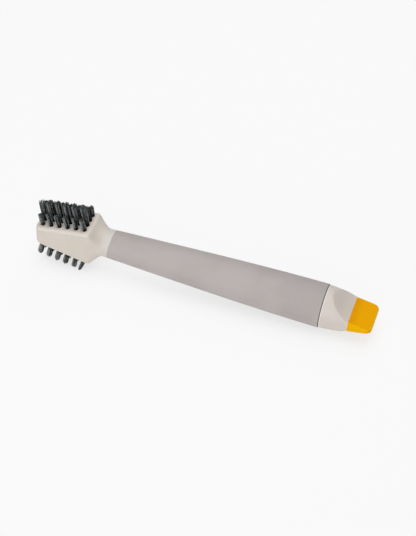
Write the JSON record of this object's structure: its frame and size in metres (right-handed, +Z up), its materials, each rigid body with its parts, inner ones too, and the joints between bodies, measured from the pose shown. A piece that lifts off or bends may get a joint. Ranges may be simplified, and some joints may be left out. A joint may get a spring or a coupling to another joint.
{
  "type": "detailing brush",
  "caption": "Hand-held detailing brush with a wedge head carrying bristle tufts on both faces, a round tapered soft grip and a flat scraper blade at the other end.",
  "frame": {"origin": "on the surface that the brush lies on, under the middle of its outline seen from above", "axes": "+X along the brush from the bristle head to the scraper, level with the surface; +Y across the head; +Z up, on the side of the longer tufts"},
  "size_m": [0.2028, 0.0256, 0.0467],
  "materials": {
    "ivory_plastic": "moulded ivory plastic with a fine satin surface",
    "grey_soft_grip": "matt warm grey soft-touch grip",
    "yellow_plastic": "moulded yellow plastic with a low sheen",
    "charcoal_bristle": "charcoal nylon filament with a slight sheen"
  },
  "bodies": {
    "root": {"head_and_core": "ivory_plastic", "soft_grip": "grey_soft_grip", "end_cap": "ivory_plastic", "scraper_blade": "yellow_plastic", "upper_tuft_row1_column1": "charcoal_bristle", "upper_tuft_row1_column2": "charcoal_bristle", "upper_tuft_row1_column3": "charcoal_bristle", "upper_tuft_row1_column4": "charcoal_bristle", "upper_tuft_row1_column5": "charcoal_bristle", "upper_tuft_row1_column6": "charcoal_bristle", "upper_tuft_row2_column1": "charcoal_bristle", "upper_tuft_row2_column2": "charcoal_bristle", "upper_tuft_row2_column3": "charcoal_bristle", "upper_tuft_row2_column4": "charcoal_bristle", "upper_tuft_row2_column5": "charcoal_bristle", "upper_tuft_row2_column6": "charcoal_bristle", "upper_tuft_row3_column1": "charcoal_bristle", "upper_tuft_row3_column2": "charcoal_bristle", "upper_tuft_row3_column3": "charcoal_bristle", "upper_tuft_row3_column4": "charcoal_bristle", "upper_tuft_row3_column5": "charcoal_bristle", "upper_tuft_row3_column6": "charcoal_bristle", "upper_tuft_row4_column1": "charcoal_bristle", "upper_tuft_row4_column2": "charcoal_bristle", "upper_tuft_row4_column3": "charcoal_bristle", "upper_tuft_row4_column4": "charcoal_bristle", "upper_tuft_row4_column5": "charcoal_bristle", "upper_tuft_row4_column6": "charcoal_bristle", "lower_tuft_row1_column1": "charcoal_bristle", "lower_tuft_row1_column2": "charcoal_bristle", "lower_tuft_row1_column3": "charcoal_bristle", "lower_tuft_row1_column4": "charcoal_bristle", "lower_tuft_row1_column5": "charcoal_bristle", "lower_tuft_row1_column6": "charcoal_bristle", "lower_tuft_row2_column1": "charcoal_bristle", "lower_tuft_row2_column2": "charcoal_bristle", "lower_tuft_row2_column3": "charcoal_bristle", "lower_tuft_row2_column4": "charcoal_bristle", "lower_tuft_row2_column5": "charcoal_bristle", "lower_tuft_row2_column6": "charcoal_bristle", "lower_tuft_row3_column1": "charcoal_bristle", "lower_tuft_row3_column2": "charcoal_bristle", "lower_tuft_row3_column3": "charcoal_bristle", "lower_tuft_row3_column4": "charcoal_bristle", "lower_tuft_row3_column5": "charcoal_bristle", "lower_tuft_row3_column6": "charcoal_bristle", "lower_tuft_row4_column1": "charcoal_bristle", "lower_tuft_row4_column2": "charcoal_bristle", "lower_tuft_row4_column3": "charcoal_bristle", "lower_tuft_row4_column4": "charcoal_bristle", "lower_tuft_row4_column5": "charcoal_bristle", "lower_tuft_row4_column6": "charcoal_bristle"}
  },
  "joints": []
}
